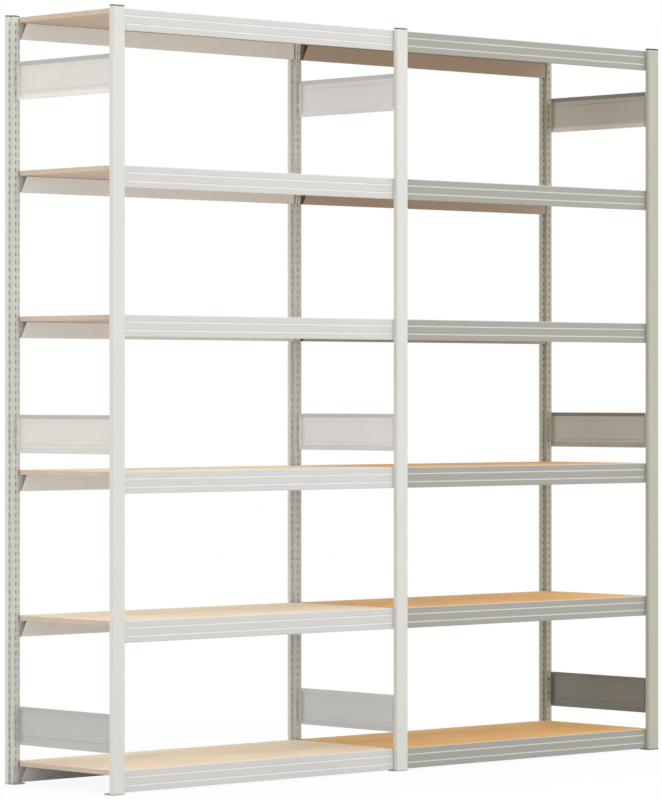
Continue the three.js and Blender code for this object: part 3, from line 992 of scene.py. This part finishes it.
class SHELVING_OT_caps(bpy.types.Operator):
    """Moulded caps in the tops of the uprights"""

    bl_idname = "shelving.caps"
    bl_label = "Caps"

    def execute(self, context):
        size, upright = settings("cap"), settings("upright")
        low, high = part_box("left_front_cap")
        under, half = high.z - size.thickness, upright_corners()[1][0]
        mesh = bmesh.new()
        slab(mesh, inset(upright_corners(), size.inset), under, high.z, size.rim)
        head = both_sides([(half, 0, upright.front_bend), (half, upright.head_depth, upright.back_bend)])
        slab(mesh, inset(head, upright.wall + size.plug_gap), low.z, (under + high.z) / 2)
        made = softened(as_mesh("cap", mesh))
        for frame_name, end, tone, place in each_post():
            name, finishes = f"{frame_name}_{end}_cap", [plastic(tone + "_plastic")]
            add_piece(name + "_moulding", made, place, RACK, "cap_plastic", finishes, name)
        return {"FINISHED"}


class SHELVING_OT_beams(bpy.types.Operator):
    """Folded beams with two long grooves, a lip, slanted inner ends and hooks"""

    bl_idname = "shelving.beams"
    bl_label = "Beams"

    def groove_tops(self):
        size = settings("beam")
        return [size.height - drop for drop in (size.upper_groove, size.lower_groove)]

    def face(self):
        """The corners of the front face's two grooves, from the top down."""
        size, corners = settings("beam"), []
        for top in self.groove_tops():
            corners += [
                (0, top, size.groove_bend),
                (size.groove_depth, top - size.groove_step, size.groove_bend),
                (0, top - size.groove_height, size.groove_bend),
            ]
        return corners

    def without_grooves(self, points, front):
        """The same ring with the grooves pushed out flat."""
        size, tops, flat = settings("beam"), self.groove_tops(), []
        near = size.groove_depth + size.sheet + size.sheet / 2
        for p in points:
            grooved = any(top - size.groove_height - LEAST_BEND < p.y < top + LEAST_BEND for top in tops)
            flat.append(Vector((front, p.y)) if grooved and p.x < near else p)
        return flat

    def finish_of(self, p, q, grooved, at_end):
        """The finish of the face between two points of the outside: the lit coat, a painted highlight, on the
        grooves and the lip's top, and the lit inner coat, painted light, on the inner wall.
        """
        size = settings("beam")
        middle, lip_foot = (p + q) / 2, size.height - size.lit_lip
        if grooved or middle.y > lip_foot:
            return COAT if at_end and p.y < lip_foot else LIT_COAT
        lit_inner_face = middle.x > size.foot_reach and LEAST_BEND < middle.y < size.ledge - LEAST_BEND
        return LIT_INNER if lit_inner_face else COAT

    def build(self, half):
        size = settings("beam")
        lip_bend = size.lip * LIP_ROUND
        foot = [(0, 0, size.bend), (size.foot_reach, 0, size.bend), (size.shelf_reach, size.ledge, size.bend)]
        lip = [
            (size.lip, size.ledge, size.groove_bend),
            (size.lip, size.height, lip_bend),
            (0, size.height, lip_bend),
            (0, size.height - size.lit_lip, 0),
        ]
        inside = inset(foot + [(0, size.ledge, size.bend)] + self.face(), size.sheet)
        mesh = bmesh.new()
        mark = finish_layer(mesh)
        plain = half - size.plain_end
        full = plain - size.groove_start
        for corners, flip in ((foot + lip + self.face(), False), (inside, True)):
            points, _ = rounded(corners, 3)
            flat = self.without_grooves(points, size.sheet if flip else 0)
            stations = [(-half, flat), (-plain, flat), (-full, points)]
            stations += [(-place, ring) for place, ring in stations[::-1]]
            rings = [[mesh.verts.new((place, p.x, p.y)) for p in ring] for place, ring in stations]
            pushed = [(a - b).length > LEAST_BEND for a, b in zip(points, flat)]
            for start, end in zip(rings, rings[1:]):
                at_end = start is rings[0] or end is rings[-1]
                for i, p in enumerate(points):
                    j = (i + 1) % len(points)
                    face = [start[i], start[j], end[j], end[i]]
                    kind = LIT_INNER if flip else self.finish_of(p, points[j], pushed[i] or pushed[j], at_end)
                    mesh.faces.new(face[::-1] if flip else face)[mark] = kind
        for place in (-half, half):
            edges = [e for e in mesh.edges if all(abs(v.co.x - place) < WELD_DISTANCE for v in e.verts)]
            bmesh.ops.triangle_fill(mesh, use_beauty=True, edges=edges)
        bmesh.ops.recalc_face_normals(mesh, faces=mesh.faces)
        return self.cut(as_mesh("beam", mesh), half)

    def cut(self, tube, half):
        """Takes the slanted corners out of the inner wall at both ends."""
        size = settings("beam")
        past, high = size.sheet * 2, size.ledge + LEAST_BEND
        low_cut, high_cut = size.end_cut_low, size.end_cut_high
        outline = [(past, -past), (past, high), (-high_cut, high), (-low_cut, 0), (-low_cut, -past)]
        front, back = size.groove_depth + size.sheet, size.shelf_reach + past
        mesh = bmesh.new()
        for side in (-1, 1):
            prism(mesh, [(side * (half + x), z, 0) for x, z in outline], -back, -front, ALONG_Y)
        cutter = in_scene("cutter", closed_mesh("cutter", mesh))
        made = evaluated(tube, "BOOLEAN", operation="DIFFERENCE", solver="EXACT", object=cutter)
        bpy.data.objects.remove(cutter)
        return made

    def hooks(self, half, finish):
        """Two hooks at each end of the beam."""
        size, pitch = settings("beam"), settings("upright").slot_pitch
        outline = hook_outline(size.groove_depth + size.sheet / 2, size.height - size.hook_drop - pitch)
        return [hook_pair(outline, side * (half - size.hook_inset), pitch, finish) for side in (-1, 1)]

    def execute(self, context):
        reach = settings("beam").shelf_reach
        for bay, tone in BAY_TONES.items():
            # The third finish is painted light on the beams' inner walls
            finishes = [paint(tone + kind) for kind in ("_beam", "_groove", "_wall")]
            half = half_width(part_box(f"{bay}_front_beam_1"))
            shape = joined("beam", self.build(half), *self.hooks(half, finishes[0]))
            shape = with_finishes(softened(shape, FOLD_ANGLE))
            for level in SHELF_LEVELS:
                for end in ENDS:
                    node = f"{bay}_{end}_beam_{level}"
                    low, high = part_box(node)
                    face = high.y - reach if end == "front" else low.y + reach
                    place = faced(end, middle_x((low, high)), face, low.z)
                    add_piece(node + "_folded", shape, place, RACK, tone + "_paint", finishes, node)
        return {"FINISHED"}


class SHELVING_OT_side_panels(bpy.types.Operator):
    """Side panels with slanted edges, a raised field and hooked ears"""

    bl_idname = "shelving.side_panels"
    bl_label = "Side panels"

    def section(self, rise):
        """The sheet's section, with its field raised by so much between two slopes."""
        size = settings("panel")
        web, edge, top, slope = size.web, size.web - size.edge_reach, size.height, size.field_slope
        low, high = size.field_margin, size.height - size.field_margin
        bends = [
            (web, size.lower_edge),
            (web, low - slope),
            (web - rise, low),
            (web - rise, high),
            (web, high + slope),
            (web, top - size.upper_edge),
        ]
        return open_line([(edge, 0, 0), *((x, z, size.bend) for x, z in bends), (edge, top, 0)])

    def sheet(self, half):
        """The folded sheet, drawn as its section at several places along the panel."""
        size = settings("panel")
        raised, flat = self.section(size.field_rise), self.section(LEAST_RISE)
        near = half - size.field_end
        far = near + size.field_slope
        stations = [(-half, flat), (-far, flat), (-near, raised)]
        stations += [(-place, line) for place, line in stations[::-1]]
        mesh = bmesh.new()
        rows = [[mesh.verts.new((p.x, place, p.y)) for p in line] for place, line in stations]
        mark = finish_layer(mesh)
        for row, after in zip(rows, rows[1:]):
            for i in range(len(row) - 1):
                height = (flat[i].y + flat[i + 1].y) / 2
                upper, lower = height > size.height - size.upper_edge, height < size.lower_edge
                kind = TOP_EDGE_SHADING if upper else BOTTOM_EDGE_SHADING if lower else WEB
                mesh.faces.new([row[i], row[i + 1], after[i + 1], after[i]])[mark] = kind
        made = as_mesh("panel sheet", mesh, LEAST_RISE / 10)
        return evaluated(made, "SOLIDIFY", thickness=size.sheet, offset=1.0, use_even_offset=True)

    def tabs(self, half, finish):
        """A tab folded across each end, and two hooks that reach from it into slots of the stem."""
        size, gap = settings("panel"), settings("hook").gap
        fold, edge, top = size.web + size.sheet / 2, size.web - size.edge_reach, size.height
        tab = [
            (edge, 0, 0),
            (fold, size.lower_edge, 0),
            (fold, top - size.upper_edge, 0),
            (edge, top, 0),
            (-size.tab_reach, top - size.tab_margin, size.tab_corner),
            (-size.tab_reach, size.tab_margin, size.tab_corner),
        ]
        hook = hook_outline(size.stand_off - gap + size.sheet / 2, size.hook_rise)
        made = []
        for side in (-1, 1):
            mesh = bmesh.new()
            prism(mesh, tab, *sorted((-side * half, side * (size.sheet - half))), ALONG_Y)
            made.append(closed_mesh("tab", mesh))
            outline = [(side * (half + size.stand_off - gap - x), z, r) for x, z, r in hook]
            made.append(hook_pair(outline, 0, size.hook_pitch, finish))
        return made

    def execute(self, context):
        for frame_name, tone in FRAME_TONES.items():
            colours, usual, lowest = settings("finish"), frame_name + "_panel", frame_name + "_low_panel"
            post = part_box(f"{frame_name}_front_upright")
            half = -post[0].y - settings("upright").depth - settings("panel").stand_off
            shape = joined("side panel", self.sheet(half), *self.tabs(half, paint(usual)))
            shape = with_finishes(softened(shape, FOLD_ANGLE))
            # Tones that paint light and shade on each panel's upper and lower edges
            edges = [getattr(colours, tone + edge) for edge in ("_upper", "_lower")]
            for place, upper, lower in zip(PANEL_PLACES, *edges):
                # The bottom panel takes the darker paint, painted shade
                kind = lowest if place == "bottom" else usual
                finishes = [paint(kind, shade) for shade in (1.0, upper, lower)]
                node = f"{frame_name}_side_panel_{place}"
                low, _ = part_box(node)
                matrix = Matrix.Translation((middle_x(post), 0, low.z))
                add_piece(node + "_folded", shape, matrix, RACK, tone + "_paint", finishes, node)
        return {"FINISHED"}


class SHELVING_OT_boards(bpy.types.Operator):
    """Chipboard shelves, notched round the stems"""

    bl_idname = "shelving.boards"
    bl_label = "Shelf boards"

    def build(self, low, high):
        size, upright = settings("board"), settings("upright")
        x, y = (high.x - low.x) / 2, (high.y - low.y) / 2
        stem_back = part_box("left_rear_upright")[1].y - upright.depth
        notch_x = x - (upright.stem_width / 2 + size.notch_side - size.end_gap / 2)
        notch_y = stem_back - size.notch_face
        outer, inner = size.outer_corner, size.inner_corner
        corner = [(notch_x, y, outer), (notch_x, notch_y, inner), (x, notch_y, outer)]
        outline = []
        for sx, sy in ((1, 1), (1, -1), (-1, -1), (-1, 1)):
            turned = [(sx * a, sy * b, r) for a, b, r in corner]
            outline += turned if sx * sy > 0 else turned[::-1]
        mesh = bmesh.new()
        slab(mesh, outline[::-1], 0, high.z - low.z, size.edge, 2, both=True)
        made = softened(as_mesh("shelf board", mesh), BOARD_ANGLE)
        for face in made.polygons:
            up, down = face.normal.z > FLAT_NORMAL, face.normal.z < -FLAT_NORMAL
            face.material_index = UPPER_FACE if up else SHADED_BELOW if down else SAWN_EDGE
        return made

    def execute(self, context):
        for bay, tone in BAY_TONES.items():
            shape = self.build(*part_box(f"{bay}_shelf_board_1"))
            for level in SHELF_LEVELS:
                # Boards under another shelf take the lighter upper face, painted light; the top board takes
                # the colour for open light
                upper = "_open_board" if level == SHELF_LEVELS[-1] else "_board"
                finishes = [chipboard(tone + kind) for kind in (upper, "_edge", "_under")]
                node = f"{bay}_shelf_board_{level}"
                low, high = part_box(node)
                place = Matrix.Translation((middle_x((low, high)), (low.y + high.y) / 2, low.z))
                body = f"{bay}_board_{level}"
                add_piece(node + "_chipboard", shape, place, body, tone + "_board", finishes, node)
        return {"FINISHED"}


class SHELVING_OT_stage(bpy.types.Operator):
    """White floor, even light and the camera"""

    bl_idname = "shelving.stage"
    bl_label = "Stage"

    def emptied(self, owner):
        owner.use_nodes = True
        owner.node_tree.nodes.clear()
        return owner.node_tree

    def seen_directly(self, tree):
        """A mask that is one for camera, glossy and transmission rays."""
        rays = tree.nodes.new("ShaderNodeLightPath").outputs
        kinds = [rays[f"Is {kind} Ray"] for kind in ("Camera", "Glossy", "Transmission")]
        return math_node(tree, "MINIMUM", total(tree, *kinds), 1.0)

    def shown(self, tree, output, factor, first, second):
        """Ends a tree with a mix of two shaders."""
        mix = add_node(tree, "ShaderNodeMixShader", factor, first.outputs[0], second.outputs[0])
        add_node(tree, output, Surface=mix.outputs[0])

    def floor(self):
        stage = settings("stage")
        mesh = bpy.data.meshes.new("floor")
        corners = [(x * FLOOR_REACH, y * FLOOR_REACH, 0) for x, y in ((-1, -1), (1, -1), (1, 1), (-1, 1))]
        mesh.from_pydata(corners, [], [(0, 1, 2, 3)])
        floor = in_scene("floor", mesh)
        material = bpy.data.materials.new("white floor")
        tree = self.emptied(material)
        seen = self.seen_directly(tree)
        matt = add_node(tree, "ShaderNodeBsdfDiffuse", mixed(tree, seen, stage.bounce, stage.floor))
        glow = tree.nodes.new("ShaderNodeEmission")
        self.shown(tree, "ShaderNodeOutputMaterial", product(tree, seen, stage.floor_share), matt, glow)
        mesh.materials.append(material)
        floor.location.z = CAD_BOX[0].z - FLOOR_DROP

    def sky(self):
        world = bpy.data.worlds.new("even light")
        tree = self.emptied(world)
        strengths = (settings("stage").sky, 1)
        soft, white = [add_node(tree, "ShaderNodeBackground", (1, 1, 1), value) for value in strengths]
        self.shown(tree, "ShaderNodeOutputWorld", self.seen_directly(tree), soft, white)
        bpy.context.scene.world = world

    def lamp(self, name, place, aim, size, power):
        light = bpy.data.lights.new(name, "AREA")
        light.shape = "DISK"
        light.size = size
        light.energy = power
        obj = in_scene(name, light)
        obj.location = place
        obj.rotation_euler = (Vector(aim) - Vector(place)).to_track_quat("-Z", "Y").to_euler()

    def camera(self):
        stage = settings("stage")
        data = bpy.data.cameras.new("camera")
        data.lens = stage.lens
        data.sensor_width = SENSOR_WIDTH
        data.shift_y = stage.shift
        data.clip_end = FARTHEST
        camera = in_scene("camera", data)
        camera.location = (stage.camera_x, stage.camera_y, stage.camera_z)
        camera.rotation_euler = (math.pi / 2, 0, -stage.camera_turn)
        bpy.context.scene.camera = camera

    def execute(self, context):
        stage = settings("stage")
        self.floor()
        self.sky()
        self.lamp("overhead lamp", place=(0, -1, 8), aim=(0, -1, 0), size=8, power=stage.overhead)
        self.lamp("front lamp", place=(1.5, -5, 8), aim=(0.5, 0, 1.5), size=4, power=stage.front)
        self.camera()
        context.scene.view_settings.view_transform = "Standard"
        return {"FINISHED"}


class SHELVING_PT_unit(bpy.types.Panel):
    """Sizes and colours of the shelving unit, and the steps that build it"""

    bl_idname = "SHELVING_PT_unit"
    bl_label = "Shelving unit"
    bl_space_type = "VIEW_3D"
    bl_region_type = "UI"
    bl_category = "Shelving"

    def draw(self, context):
        for part, group in SETTINGS.items():
            box = self.layout.box()
            box.label(text=part.capitalize())
            for name in group.__annotations__:
                box.prop(settings(part), name)
        for step in STEPS:
            self.layout.operator(step.bl_idname)


STEPS = (
    SHELVING_OT_stage,
    SHELVING_OT_uprights,
    SHELVING_OT_feet,
    SHELVING_OT_caps,
    SHELVING_OT_beams,
    SHELVING_OT_side_panels,
    SHELVING_OT_boards,
)
CLASSES = (*SETTINGS.values(), *STEPS, SHELVING_PT_unit)


def register():
    for item in CLASSES:
        bpy.utils.register_class(item)
    for part, group in SETTINGS.items():
        setattr(bpy.types.Scene, "shelving_" + part, PointerProperty(type=group))


def unregister():
    for part in SETTINGS:
        delattr(bpy.types.Scene, "shelving_" + part)
    for item in reversed(CLASSES):
        bpy.utils.unregister_class(item)


def main():
    register()
    for step in STEPS:
        group, name = step.bl_idname.split(".")
        getattr(getattr(bpy.ops, group), name)()


if __name__ == "__main__":
    main()
